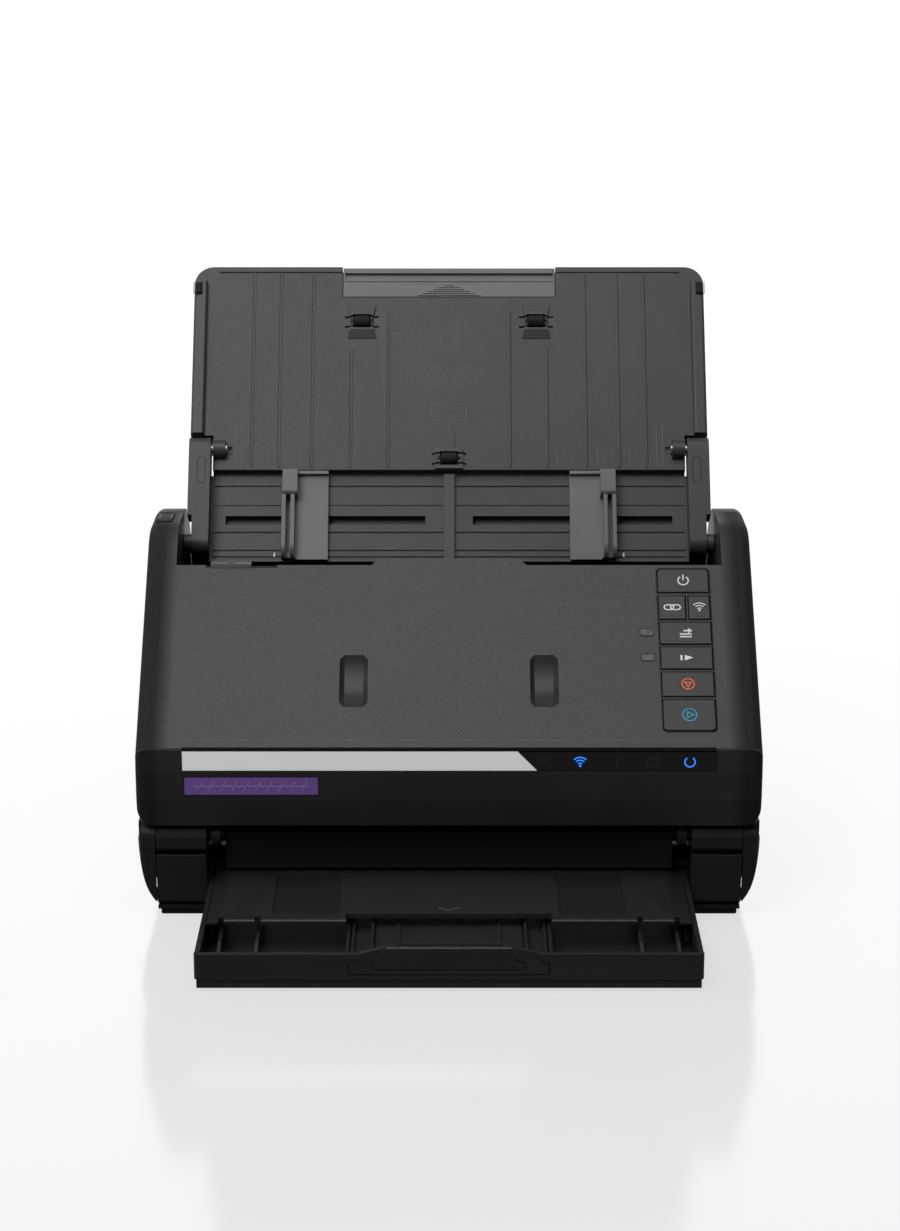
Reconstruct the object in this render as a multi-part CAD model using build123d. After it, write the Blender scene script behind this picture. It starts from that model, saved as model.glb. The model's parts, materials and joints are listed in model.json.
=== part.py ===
from build123d import *
from math import cos, sin, pi, radians, degrees, atan2, hypot
import os

# Sheet fed document scanner. Millimetres. While it is modelled, X runs to the right, Y to the
# back with Y = 0 at the foremost bulge of the front cover, and Z up from the table.

# Case
HALF_W = 148.0                  # half of the full width
CHEEK_X = 133.3                 # inner wall of the shoulders beside the input tray
PANEL_X = 139.8                 # inner face of the side panels beside the front corners
DEPTH = 169.0                   # front bulge to the back
SHOULDER_Z = 170.5
SHOULDER_R, REAR_R = 22.0, 40.0     # rounding of the shoulders in front and behind
WALL = 2.5
FOOT_H = 3.3
SIDE_R = 5.0                    # rounding of the case's outer edges
LIP_CORNER_R = 9.0              # rounding of the cover's lower outer corners

# Front cover: its sloping face starts at the crease and leans back
CREASE = (6.0, 88.0)
FACE_LEAN = radians(47.8)
FACE_LEN = 99.7                 # crease to the top edge, along the face
CREST, CREST_HALF_W = 4.0, 34.0  # rise of the middle of the top edge
COVER_LIP = (3.0, 47.5)
COVER_PIVOT = (12.0, 40.0)
SEAM_Y = 26.0                   # cover seam below its sloping stretch
SEAM_DEPTH = 19.5               # face to seam, in front of the tray's lower pivot
SEAM_GAP = 0.8

# Input tray: pivots, and lengths measured along the tray from the lower pivot
TRAY_PIVOT = (123.0, 155.4)
TRAY_LEAN = radians(33)
LINK_K = 50.0                   # lower pivot to upper pivot
TRAY_K = 151.4                  # lower pivot to the top edge
TRAY_HALF_W = 131.5
TRAY_BACK = 9.5
PAPER_DEPTH = 8.0               # paper plane behind the pivot plane

# Edge guides, with their rack and pinion
GUIDE_K = 14.0
GUIDE_X = 61.0
MODULE = 1.0
GUIDE_TEETH = 12

# Rollers and drive
FEED_K, FEED_R = -62.0, 12.0
EXIT_AXIS, EXIT_R = (27.0, 31.0), 9.0
FEED_TEETH, MOTOR_TEETH = 44, 12
PULLEY_R = 8.0
BELT_T = 1.2
GEAR_X, GEAR_W = 140.0, 4.0
PULLEY_X, PULLEY_W = 136.2, 3.2
SHAFT_R = 3.0
PIN_R = 2.5
RUN = 0.05                      # running clearance on a radius
GAP = 0.4                       # gap between pieces that move past each other

# Output tray
DRAWER_FRONT = -88.0
DECK_FRONT = -48.0
DRAWER_HALF_W = 114.4
BAY_HALF_W = 115.3
ROOF_Z = 21.0
EXT1_HALF_W, EXT2_HALF_W = 44.8, 33.8

# Buttons: (name, left, right, low, high) on the sloping face
BUTTON_L, BUTTON_R = 101.5, 126.4
BUTTONS = [
    ("power_button", BUTTON_L, BUTTON_R, 83.5, 97.2),
    ("link_button", BUTTON_L, 114.6, 68.1, 81.7),
    ("wireless_button", 116.0, BUTTON_R, 68.1, 81.7),
    ("double_feed_button", BUTTON_L, BUTTON_R, 54.0, 66.6),
    ("slow_mode_button", BUTTON_L, BUTTON_R, 40.0, 52.6),
    ("stop_button", BUTTON_L, BUTTON_R, 24.7, 38.5),
    ("start_button", BUTTON_L, BUTTON_R, 6.0, 23.2),
]
KEY_CORNER_R = 2.2
LED_ROWS = (46.8, 61.0)
SCOOP_X, SCOOP_K = 45.5, 33.6

FACE = Plane(origin=(0, *CREASE), x_dir=(1, 0, 0), z_dir=(0, -cos(FACE_LEAN), sin(FACE_LEAN)))
TRAY = Plane(origin=(0, *TRAY_PIVOT), x_dir=(1, 0, 0), z_dir=(0, -cos(TRAY_LEAN), sin(TRAY_LEAN)))

# The part's origin lies midway between the drawer's front and the tray's rear edge
TRAY_REAR = TRAY_PIVOT[0] + TRAY_K * sin(TRAY_LEAN) + TRAY_BACK * cos(TRAY_LEAN)
ORIGIN_Y = (DRAWER_FRONT + TRAY_REAR) / 2


# ---- helpers

def block(x0, x1, y0, y1, z0, z1):
    """Box between two corners."""
    size = (x1 - x0, y1 - y0, z1 - z0)
    return Pos((x0 + x1) / 2, (y0 + y1) / 2, (z0 + z1) / 2) * Box(*size)


def both(x0, x1, y0, y1, z0, z1):
    """A box on the right and its mirror image on the left."""
    return block(x0, x1, y0, y1, z0, z1) + block(-x1, -x0, y0, y1, z0, z1)


def outline(points):
    """Face in the YZ plane with these corners."""
    return make_face(Polyline(*[(0, y, z) for y, z in points], close=True))


def along_x(face, x0, x1):
    """A YZ face drawn out from x0 to x1."""
    return extrude(Pos(x0, 0, 0) * face, x1 - x0, dir=(1, 0, 0))


def prism(points, x0, x1):
    return along_x(outline(points), x0, x1)


def rod(centre, radius, x0, x1):
    """Cylinder along X about a (y, z) centre."""
    return Pos((x0 + x1) / 2, *centre) * Rot(0, 90, 0) * Cylinder(radius, x1 - x0)


def strip(points, thickness):
    """Corners of a bent sheet: a line, and the same line one thickness to its right."""
    shifted = []
    for i, (y, z) in enumerate(points):
        sides = [(points[j], points[j + 1]) for j in (i - 1, i) if 0 <= j < len(points) - 1]
        turns = [atan2(b[1] - a[1], b[0] - a[0]) for a, b in sides]
        ny = sum(sin(t) for t in turns)
        nz = -sum(cos(t) for t in turns)
        size = hypot(ny, nz)
        ny, nz = ny / size, nz / size
        reach = thickness / (ny * sin(turns[0]) - nz * cos(turns[0]))
        shifted.append((y + ny * reach, z + nz * reach))
    return points + shifted[::-1]


def sheet(points, thickness, x0, x1):
    return prism(strip(points, thickness), x0, x1)


def on_face(shape):
    """From (x, along the face, out of the face) to the scanner."""
    return FACE.location * shape


def on_tray(shape):
    """From (x, along the tray, in front of the pivot plane) to the scanner."""
    return TRAY.location * shape


def face_point(k, out=0.0):
    y = CREASE[0] + k * sin(FACE_LEAN) - out * cos(FACE_LEAN)
    return y, CREASE[1] + k * cos(FACE_LEAN) + out * sin(FACE_LEAN)


def tray_point(k, out=0.0):
    y = TRAY_PIVOT[0] + k * sin(TRAY_LEAN) - out * cos(TRAY_LEAN)
    return y, TRAY_PIVOT[1] + k * cos(TRAY_LEAN) + out * sin(TRAY_LEAN)


FEED_AXIS = tray_point(FEED_K, -PAPER_DEPTH + 0.5 - FEED_R)
BRAKE_R = 10.0
BRAKE_AXIS = tray_point(FEED_K, -PAPER_DEPTH + 0.5 + GAP + BRAKE_R)
PINCH_R = 4.5
PINCH_AXIS = (EXIT_AXIS[0] - 1.0, EXIT_AXIS[1] + EXIT_R + PINCH_R + 0.9)
MESH = MODULE * (FEED_TEETH + MOTOR_TEETH) / 2 + 0.1
MOTOR_TURN = radians(-63)
MOTOR_AXIS = (FEED_AXIS[0] + MESH * cos(MOTOR_TURN), FEED_AXIS[1] + MESH * sin(MOTOR_TURN))


def toothed_face(teeth, first_tooth):
    """Spur gear outline in the XY plane; first_tooth is the angle of one tooth in degrees."""
    pitch = 2 * pi / teeth
    radius = MODULE * teeth / 2
    flank = [(-0.375, -1.2), (-0.235, 0.0), (-0.115, 1.0), (0.115, 1.0), (0.235, 0.0), (0.375, -1.2)]
    points = []
    for n in range(teeth):
        for share, height in flank:
            angle = radians(first_tooth) + (n + share) * pitch
            reach = radius + height * MODULE
            points.append((reach * cos(angle), reach * sin(angle)))
    return make_face(Polyline(*points, close=True))


def gear_along_x(centre, teeth, first_tooth, x0, width):
    """Spur gear about X; first_tooth is measured from +Y towards +Z."""
    plane = Plane(origin=(x0, *centre), x_dir=(0, 1, 0), z_dir=(1, 0, 0))
    return extrude(plane.location * toothed_face(teeth, first_tooth), width, dir=(1, 0, 0))


def mirrored(shape):
    return mirror(shape, about=Plane.YZ)


def along_y(points, y0, y1):
    """Outline in the XZ plane drawn out from y0 to y1."""
    face = make_face(Polyline(*[(x, y0, z) for x, z in points], close=True))
    return extrude(face, y1 - y0, dir=(0, 1, 0))


# ---- case

COVER_FRONT = [COVER_LIP, (0.4, 61.0), (0.0, 75.0), (0.9, 85.6), (3.6, 85.8)]
CASE_FRONT = [(12.0, FOOT_H), (7.5, 8.0), (4.5, 31.8)]
SEAM_LOW = (SEAM_Y, face_point((SEAM_Y - CREASE[0] - SEAM_DEPTH * cos(FACE_LEAN)) / sin(FACE_LEAN),
                               -SEAM_DEPTH)[1])
SEAM_END = (SEAM_LOW[0] + 170 * sin(FACE_LEAN), SEAM_LOW[1] + 170 * cos(FACE_LEAN))
SEAM_RISE = cos(FACE_LEAN) / sin(FACE_LEAN)
BELLY = [(HALF_W, 43.0), (HALF_W - 1.0, 28.0), (142.9, 12.0), (137.0, FOOT_H)]
BOSS_R = 6.7                    # of the panel round the cover's pivot


def side_outline():
    """Side of the closed case, with rounded shoulders."""
    shoulder = face_point((SHOULDER_Z - CREASE[1]) / cos(FACE_LEAN))
    rear = (DEPTH, SHOULDER_Z)
    face = outline(CASE_FRONT + COVER_FRONT + [face_point(0), shoulder, rear, (DEPTH, 12.0), (161.0, FOOT_H)])
    for corner, radius in ((shoulder, SHOULDER_R), (rear, REAR_R)):
        face = fillet(face.vertices().sort_by_distance((0, *corner))[0], radius)
    return face


def belly(inset):
    """All that lies inside the right flank, whose lower edge draws in towards the feet."""
    points = [(x - inset, 0, z) for x, z in BELLY]
    curve = Spline(*points, tangents=[(0, 0, -1), (-0.8, 0, -1)])
    low, high = points[-1], points[0]
    rest = Polyline(low, (low[0], 0, 0), (90, 0, 0), (90, 0, 200), (high[0], 0, 200), high)
    return extrude(make_face([curve, rest]), 200, dir=(0, 1, 0))


def flank(region):
    """The part of the right flank inside a YZ region: its solid, and its YZ face."""
    body = along_x(side_outline(), CHEEK_X, HALF_W)
    body = fillet(body.faces().sort_by(Axis.X)[-1].edges(), SIDE_R)
    return body & belly(0) & prism(region, 100, 200), side_outline() & outline(region)


def hollow(face):
    """Cavity one wall inside the right flank."""
    return along_x(offset(face, -WALL, kind=Kind.INTERSECTION), CHEEK_X + WALL, HALF_W - WALL) & belly(WALL)


def scoop(side):
    """Cutter of the hollow that takes a tray roller when the tray is folded shut."""
    width, reach, depth = 13.6, 14.5, 4.5
    radius = (reach**2 + depth**2) / (2 * depth)
    return Pos(side * SCOOP_X, SCOOP_K, radius - depth) * Rot(0, 90, 0) * chamfer(
        Cylinder(radius, width).edges().filter_by(GeomType.CIRCLE), depth * 0.5, depth * 0.3)


def lip_corner(inset):
    """What the rounding takes off the cover's lower outer corner."""
    radius = LIP_CORNER_R - inset
    middle_x, middle_z = HALF_W - LIP_CORNER_R, COVER_LIP[1] + LIP_CORNER_R
    corner = block(middle_x, HALF_W + 1, -10, 60, COVER_LIP[1] - 1, middle_z)
    return corner - Pos(middle_x, 25, middle_z) * Rot(90, 0, 0) * Cylinder(radius, 80)


def front_cover_shell():
    lip_z = COVER_LIP[1]
    wing, face = flank([(-10, lip_z), (SEAM_Y, lip_z), SEAM_LOW, SEAM_END, (-10, 200)])
    wing -= lip_corner(0)
    cavity = hollow(face) - lip_corner(WALL)
    open_back = 6.0
    wing -= cavity + Pos(0, open_back, -open_back * SEAM_RISE) * cavity
    skin_line = COVER_FRONT + [face_point(0), face_point(FACE_LEN), (84.2, 153.2), (87.0, 143.0)]
    skin = sheet(skin_line, WALL, -CHEEK_X - 1, CHEEK_X + 1)
    bosses = [block(side * SCOOP_X - 9.5, side * SCOOP_X + 9.5, 15.5, 51.5, -7.5, -1.5) for side in (-1, 1)]
    crest = make_face(Polyline((-40, 96, -WALL), (40, 96, -WALL), (CREST_HALF_W + 4, FACE_LEN, -WALL),
                               (CREST_HALF_W, FACE_LEN + CREST, -WALL), (-CREST_HALF_W, FACE_LEN + CREST, -WALL),
                               (-CREST_HALF_W - 4, FACE_LEN, -WALL), close=True))
    shell = skin + wing + mirrored(wing) + on_face(extrude(crest, WALL, dir=(0, 0, 1)) + bosses)
    cuts = [scoop(side) for side in (-1, 1)]
    for _, left, right, low, high in BUTTONS:
        cuts.append(key_blank(left - GAP, right + GAP, low - GAP, high + GAP, -4, 2))
    for row in LED_ROWS:
        cuts.append(block(92.1, 98.5, row - 1.9, row + 1.9, -4, 2))
    shell -= on_face(Part() + cuts)
    pocket = [(-2, 75.6), (0.9, 75.6), (1.6, 85.3), (-2, 85.3)]
    shell -= prism(pocket, -125.8, 125.8)
    shell -= block(-125.0, -61.3, -2, 1.0, 63.5, 72.7)
    shell -= block(-145.0, -137.0, 104.6, 121.4, SHOULDER_Z - 5.0, 180.0)
    shell -= block(-118.5 - 0.3, -84.0, 78.0, 86.0, 153.8, 158.0)
    return shell


STRIP_Y = (-0.15, 0.85)


def silver_trim_strip():
    return along_y([(-125.4, 75.9), (41.2, 75.9), (32.3, 85.0), (-125.4, 85.0)], *STRIP_Y)


def display_window():
    return along_y([(41.5, 75.9), (125.4, 75.9), (125.4, 85.0), (32.6, 85.0)], *STRIP_Y)


def badge():
    return block(-124.6, -61.7, -0.2, 0.8, 63.9, 72.3)


def indicator_lenses():
    return on_face(Part() + [block(92.3, 98.3, row - 1.7, row + 1.7, -4.5, 0.2) for row in LED_ROWS])


def key_blank(left, right, low, high, z0, z1):
    """Block whose corners are rounded where the column of keys begins and ends."""
    blank = block(left, right, low, high, z0, z1)
    rows = blank.edges().filter_by(Axis.Z).group_by(Axis.Y)
    if low <= BUTTONS[-1][3]:
        return fillet(rows[0], KEY_CORNER_R)
    if high >= BUTTONS[0][4]:
        return fillet(rows[-1], KEY_CORNER_R)
    return blank


def button(left, right, low, high):
    """Key cap with a retaining flange inside the skin and a stem towards the switch."""
    cap = key_blank(left, right, low, high, -3.4, 0.5)
    cap = fillet(cap.faces().sort_by(Axis.Z)[-1].edges(), 0.6)
    flange = block(left - 0.3, right + 0.3, low - 0.3, high + 0.3, -4.2, -3.2)
    middle, row = (left + right) / 2, (low + high) / 2
    stem = block(middle - 1.5, middle + 1.5, row - 1.5, row + 1.5, -6.6, -4.0)
    return on_face(cap + flange + stem)


def button_board():
    board = block(88, 128, 4, 94, -10.0, -8.4)
    switches = []
    for _, left, right, low, high in BUTTONS:
        middle, row = (left + right) / 2, (low + high) / 2
        switches.append(block(middle - 3, middle + 3, row - 3, row + 3, -8.5, -7.6))
    return on_face(board + switches)


FRAME_HALF_W = 113.0


def cover_inner_frame():
    """Inner wall of the cover: the front side of the paper path, with end plates and hinge lugs."""
    front_gap = -PAPER_DEPTH + 1.8
    line = [(90.1, 146.5), tray_point(-48, front_gap), tray_point(-108, front_gap), (52.0, 52.5), (34.0, 47.6)]
    frame = sheet(line, WALL, -FRAME_HALF_W, FRAME_HALF_W)
    for side in (-1, 1):
        frame -= block(side * 21 - 12, side * 21 + 12, *span(BRAKE_AXIS[0], 30), *span(BRAKE_AXIS[1], 13))
        frame -= block(side * 32 - 15.5, side * 32 + 15.5, *span(PINCH_AXIS[0], 12), *span(PINCH_AXIS[1], 8))
    frame -= on_tray(block(-108, 108, -94, -82, front_gap - 1, front_gap + 8))
    end = prism([(89.0, 143.0), tray_point(-48, front_gap + 1), tray_point(-108, front_gap + 1),
                 (36.0, 49.5), (20.0, 49.5), (16.0, 72.0), face_point(4, -12), face_point(86, -12)],
                110.5, FRAME_HALF_W)
    lug = prism([(9.0, 43.0), (15.5, 36.0), (36.0, 49.2), (36.0, 54.0), (24.0, 54.0)], 108.7, FRAME_HALF_W)
    lug += rod(COVER_PIVOT, 5.6, 108.7, FRAME_HALF_W)
    end = end + lug - rod(COVER_PIVOT, PIN_R + RUN, 100, 120)
    end -= rod(BRAKE_AXIS, SHAFT_R + RUN, 100, 120)
    end -= rod(PINCH_AXIS, 1.5 + RUN, 100, 120)
    return frame + end + mirrored(end)


def span(middle, half):
    return middle - half, middle + half


def scan_bar(out_low, out_high):
    """Contact image sensor bar across the paper path."""
    return on_tray(block(-107, 107, -93.2, -82.8, out_low, out_high))


def front_scan_sensor():
    return scan_bar(-PAPER_DEPTH + 3.2, -PAPER_DEPTH + 14)


def front_scan_glass():
    return scan_bar(-PAPER_DEPTH + 1.8, -PAPER_DEPTH + 3.2)


def rear_scan_sensor():
    return scan_bar(-PAPER_DEPTH - 14, -PAPER_DEPTH - 1.6)


def rear_scan_glass():
    return scan_bar(-PAPER_DEPTH - 1.6, -PAPER_DEPTH)


def separation_roller():
    roller = rod(BRAKE_AXIS, SHAFT_R, -116, 116)
    for side in (-1, 1):
        roller += rod(BRAKE_AXIS, BRAKE_R, side * 21 - 9, side * 21 + 9)
    return roller


def pinch_rollers():
    rollers = rod(PINCH_AXIS, 1.5, -114, 114)
    for side in (-1, 1):
        rollers += rod(PINCH_AXIS, PINCH_R, side * 32 - 13, side * 32 + 13)
    return rollers


def latch_hooks():
    hook = prism([(70.0, 118.0), (84.0, 130.0), (99.0, 122.0), (99.0, 116.5), (95.5, 116.5), (95.5, 119.5),
                  (86.0, 122.0)], 113.2, 117.0)
    return hook + mirrored(hook)


def cover_lever():
    """Tab in the left shoulder that is pulled forward to open the cover."""
    tab = block(-144.6, -137.4, 109.0, 121.0, SHOULDER_Z - 4.6, SHOULDER_Z + 0.6)
    tab = fillet(tab.edges().filter_by(Axis.X).group_by(Axis.Z)[-1], 1.5)
    grooves = [block(-143.2, -138.8, y, y + 0.9, SHOULDER_Z, SHOULDER_Z + 1) for y in (111.3, 113.7, 116.1, 118.5)]
    return tab - grooves


def feeder_selector():
    """Small lever at the mouth's left end, slid along X."""
    lever = block(-116.4, -96.6, 78.4, 83.4, 154.0, 155.8)
    lever += block(-108.4, -104.6, 79.6, 82.2, 155.7, 156.5)
    return fillet(lever.edges().filter_by(Axis.Y).group_by(Axis.Z)[-1], 0.4)


# ---- base

def side_panel():
    """Right side panel, open on its inner side."""
    front, top = COVER_PIVOT[0] - BOSS_R, COVER_PIVOT[1] + BOSS_R
    seam = SEAM_Y + SEAM_GAP
    panel, face = flank([(-10, 0), (-10, 31.8), (front, 31.8), (front, COVER_PIVOT[1]), (COVER_PIVOT[0], COVER_PIVOT[1]),
                         (COVER_PIVOT[0], top), (seam, top), (seam, SEAM_LOW[1] - 0.3),
                         (SEAM_END[0] + SEAM_GAP / cos(FACE_LEAN), SEAM_END[1]), (200, SEAM_END[1]), (200, 0)])
    panel += rod(COVER_PIVOT, BOSS_R, PANEL_X, HALF_W - 1.5)
    panel -= block(100, PANEL_X, 0, 31, 0, 60)
    panel -= hollow(face)
    panel -= block(CHEEK_X - 1, CHEEK_X + WALL + 0.1, 31, DEPTH - 4, FOOT_H + WALL, 118)
    panel -= block(PANEL_X - 10, PANEL_X + WALL, 15, 32, FOOT_H + WALL, 44)
    panel += rod(tray_point(0), 7.0, CHEEK_X, CHEEK_X + 6)
    panel -= rod(tray_point(0), PIN_R, 130, CHEEK_X + 5)
    return panel


def rear_cover():
    line = [(139.0, 148.5), (152.0, 147.5), (162.0, 142.0), (167.5, 133.0), (DEPTH, 121.0), (DEPTH, 12.0),
            (161.0, FOOT_H)]
    cover = sheet(line, WALL, -CHEEK_X + 0.3, CHEEK_X - 0.3)
    fin = prism([(139.2, 146.5), (141.6, 154.5), (143.6, 154.5), (143.0, 146.5)], 118.0, CHEEK_X - 0.3)
    cover += fin + mirrored(fin)
    for n in range(-7, 8):
        cover -= block(n * 12 - 4, n * 12 + 4, 160, 175, 96, 98.2)
        cover -= block(n * 12 - 4, n * 12 + 4, 160, 175, 102, 104.2)
    cover -= block(86, 98, 160, 175, 27, 38)
    cover -= block(64, 77, 160, 175, 27, 38)
    cover -= block(-96, -88, 160, 175, 30, 34)
    for x, z in SCREW_SPOTS:
        cover -= Pos(x, DEPTH, z) * Rot(90, 0, 0) * Cylinder(1.5, 20)
    return cover


SCREW_SPOTS = [(-122, 20), (122, 20), (-122, 112), (122, 112), (0, 20), (0, 112)]


def case_screws():
    screws = []
    for x, z in SCREW_SPOTS:
        head = Pos(x, DEPTH + 0.8, z) * Rot(90, 0, 0) * Cylinder(2.9, 1.6)
        head -= block(x - 2.0, x + 2.0, DEPTH + 1.0, DEPTH + 3, z - 0.4, z + 0.4)
        head -= block(x - 0.4, x + 0.4, DEPTH + 1.0, DEPTH + 3, z - 2.0, z + 2.0)
        screws.append(head + Pos(x, DEPTH - 3, z) * Rot(90, 0, 0) * Cylinder(1.5, 6.2))
    return Part() + screws


def base_frame():
    """Chassis: roof over the tray bay, bay walls, plates that carry the shafts, and a back wall."""
    frame = block(-CHEEK_X + 0.4, CHEEK_X - 0.4, 21.5, 158, ROOF_Z, ROOF_Z + WALL)
    for side in (-1, 1):
        frame -= block(side * 32 - 14.5, side * 32 + 14.5, 20, 38, ROOF_Z - 1, ROOF_Z + 4)
    frame += both(BAY_HALF_W, BAY_HALF_W + WALL, 18.0, 158, FOOT_H + 0.2, ROOF_Z + 1)
    frame += both(BAY_HALF_W, CHEEK_X - 0.4, 31.5, 158, FOOT_H + 0.2, FOOT_H + 2.2)
    frame += both(BAY_HALF_W, PANEL_X - 0.6, 8.0, 31.0, FOOT_H + 0.2, FOOT_H + 2.2)
    frame += block(-BAY_HALF_W - 1, BAY_HALF_W + 1, 150, 153, FOOT_H + 0.2, ROOF_Z + 1)
    plate = prism([(19.6, 22.0), (19.6, 38.5), (38.0, 39.0), (55.0, 45.5), tray_point(-110, -PAPER_DEPTH - 2.4),
                   tray_point(-20, -PAPER_DEPTH - 2.4), (137.0, 138.0), (148.0, 138.0), (148.0, 22.0)],
                  BAY_HALF_W + 0.2, BAY_HALF_W + WALL)
    plate -= prism([(60.0, 30.0), (80.0, 30.0), (90.0, 44.0), (84.0, 50.0), (74.0, 48.0)], 100, 130)
    plate -= rod(FEED_AXIS, SHAFT_R + RUN, 100, 130)
    plate -= rod(EXIT_AXIS, SHAFT_R + RUN, 100, 130)
    plate -= rod(MOTOR_AXIS, 4.4, 100, 130)
    frame += plate + mirrored(plate)
    frame += block(-BAY_HALF_W - 1, BAY_HALF_W + 1, 136, 138, 23, 138)
    for side in (-1, 1):
        frame -= block(side * 60 - 30, side * 60 + 30, 130, 140, 44, 78)
    return frame


def front_corner_trims():
    """Corner pieces beside the drawer, under the cover's hinges."""
    corner = prism(CASE_FRONT + [(16.0, 31.8), (16.0, FOOT_H)], BAY_HALF_W + 0.1, PANEL_X - 0.4)
    corner -= block(BAY_HALF_W + 2.5, PANEL_X - 2.6, 10.0, 20.0, 6.0, 29.5)
    corner -= both(BAY_HALF_W, PANEL_X - 0.6, 7.9, 31.0, FOOT_H, FOOT_H + 2.3)
    corner &= belly(0)
    return corner + mirrored(corner)


def hinge_blocks():
    shape = [(4.9, 35.2), (7.0, 33.0), (17.0, 33.0), (17.0, 45.4), (10.0, 46.6), (6.2, 44.6), (4.9, 40.6)]
    hinge = prism(shape, BAY_HALF_W + 0.1, PANEL_X - 0.4)
    hinge = fillet(hinge.edges().filter_by(Axis.X).group_by(Axis.Y)[0], 1.0)
    hinge += block(BAY_HALF_W + 0.3, BAY_HALF_W + WALL, 16.0, 19.4, 24.0, 44.0)
    hinge -= rod(COVER_PIVOT, PIN_R, 100, 137)
    return hinge + mirrored(hinge)


def hinge_pins():
    """Pins of the cover's hinges and of the input tray's lower hinges."""
    pins = rod(COVER_PIVOT, PIN_R, 107.0, 137.0) + rod(tray_point(0), PIN_R, 124.0, CHEEK_X + 5)
    return pins + mirrored(pins)


def rubber_feet():
    feet = []
    for side in (-1, 1):
        for y0, y1 in ((10.0, 22.0), (136.0, 150.0)):
            pad = block(side * 127 - 11, side * 127 + 11, y0, y1, 0, FOOT_H)
            feet.append(chamfer(pad.faces().sort_by(Axis.Z)[0].edges(), 0.6))
    return Part() + feet


def rear_paper_guide():
    """Back wall of the paper path, down to the exit and its front wall."""
    line = [(15.6, ROOF_Z + 0.6), (15.6, 39.6), (38.0, 41.2), (55.5, 48.0), tray_point(-112, -PAPER_DEPTH),
            tray_point(-14, -PAPER_DEPTH)]
    guide = sheet(line, 2.0, -113.5, 113.5)
    guide -= both(106.8, 120, 0, 30, 20, 48)
    for side in (-1, 1):
        guide -= block(side * 32 - 14.5, side * 32 + 14.5, 15, 16.4, 32.8, 38.4)
        guide -= block(side * 32 - 14.5, side * 32 + 14.5, 17.4, 40, 34, 44)
        guide -= on_tray(block(side * 21 - 10.5, side * 21 + 10.5, FEED_K - 9, FEED_K + 9, -14, 0))
    guide -= on_tray(block(-107.4, 107.4, -93.6, -82.4, -14, 0))
    ribs = [on_tray(block(x - 0.6, x + 0.6, -76, -15, -PAPER_DEPTH - 0.2, -PAPER_DEPTH + 0.5))
            for x in (-100, -80, -60, -42, 42, 60, 80, 100)]
    return guide + ribs


def main_board():
    board = block(-95, 95, 139.5, 141.1, 34, 130)
    chips = [block(-60, -36, 141.0, 143.2, 70, 94), block(-20, -6, 141.0, 142.6, 60, 74),
             block(10, 30, 141.0, 142.4, 84, 104), block(50, 58, 141.0, 150.0, 100, 120)]
    posts = [block(x - 2, x + 2, 138.0, 139.6, z - 2, z + 2) for x in (-90, 90) for z in (38, 126)]
    return board + chips + posts


def dc_inlet():
    socket = block(86.4, 97.6, 152, 168.6, 27.4, 37.6)
    return socket - Pos(92, 166, 32.5) * Rot(90, 0, 0) * Cylinder(2.8, 14) + \
        Pos(92, 162, 32.5) * Rot(90, 0, 0) * Cylinder(0.9, 12)


def usb_port():
    port = block(64.4, 76.6, 152, 168.6, 27.4, 37.6)
    return port - block(66.2, 74.8, 158, 170, 28.9, 36.1) + block(68.2, 72.8, 157, 167, 31.2, 33.8)


def drive_motor():
    can = rod(MOTOR_AXIS, 13.0, 92.0, BAY_HALF_W)
    can = fillet(can.faces().sort_by(Axis.X)[0].edges(), 1.5)
    collar = rod(MOTOR_AXIS, 4.0, BAY_HALF_W - 1, BAY_HALF_W)
    return can + collar


def drive_belt():
    """Belt round the feed and exit pulleys."""
    turn = atan2(FEED_AXIS[1] - EXIT_AXIS[1], FEED_AXIS[0] - EXIT_AXIS[0])
    reach = hypot(FEED_AXIS[1] - EXIT_AXIS[1], FEED_AXIS[0] - EXIT_AXIS[0])
    middle = ((FEED_AXIS[0] + EXIT_AXIS[0]) / 2, (FEED_AXIS[1] + EXIT_AXIS[1]) / 2)
    inner = PULLEY_R + 0.3

    def loop(radius):
        return SlotCenterToCenter(reach, 2 * radius)

    plane = Plane(origin=(PULLEY_X + 0.2, *middle), x_dir=(0, cos(turn), sin(turn)), z_dir=(1, 0, 0))
    return extrude(plane.location * (loop(inner + BELT_T) - loop(inner)), PULLEY_W - 0.4, dir=(1, 0, 0))


# ---- drive

def feed_shaft():
    return rod(FEED_AXIS, SHAFT_R, -122, GEAR_X + GEAR_W + 0.8)


def roller_pair(axis, radius, middle, half):
    """Two tyres on a shaft."""
    pair = []
    for side in (-1, 1):
        tyre = rod(axis, radius, side * middle - half, side * middle + half)
        pair.append(tyre - rod(axis, SHAFT_R, -80, 80))
    return Part() + pair


def feed_rollers():
    return roller_pair(FEED_AXIS, FEED_R, 21, 9)


def feed_gear():
    """Gear moulded in one piece with the belt pulley."""
    tooth = degrees(MOTOR_TURN)
    gear = gear_along_x(FEED_AXIS, FEED_TEETH, tooth, GEAR_X, GEAR_W)
    gear -= rod(FEED_AXIS, 18.0, GEAR_X + 2.6, GEAR_X + GEAR_W) - rod(FEED_AXIS, 6.0, 100, 150)
    gear += rod(FEED_AXIS, PULLEY_R, PULLEY_X, GEAR_X)
    return gear - rod(FEED_AXIS, SHAFT_R, 100, 150)


def motor_pinion():
    """Pinion with a gap facing the feed gear's tooth, on the motor's shaft."""
    gap_angle = degrees(MOTOR_TURN) + 180
    pinion = gear_along_x(MOTOR_AXIS, MOTOR_TEETH, gap_angle + 180 / MOTOR_TEETH, GEAR_X, GEAR_W)
    return pinion + rod(MOTOR_AXIS, 1.8, BAY_HALF_W + 0.3, GEAR_X + 1)


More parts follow.
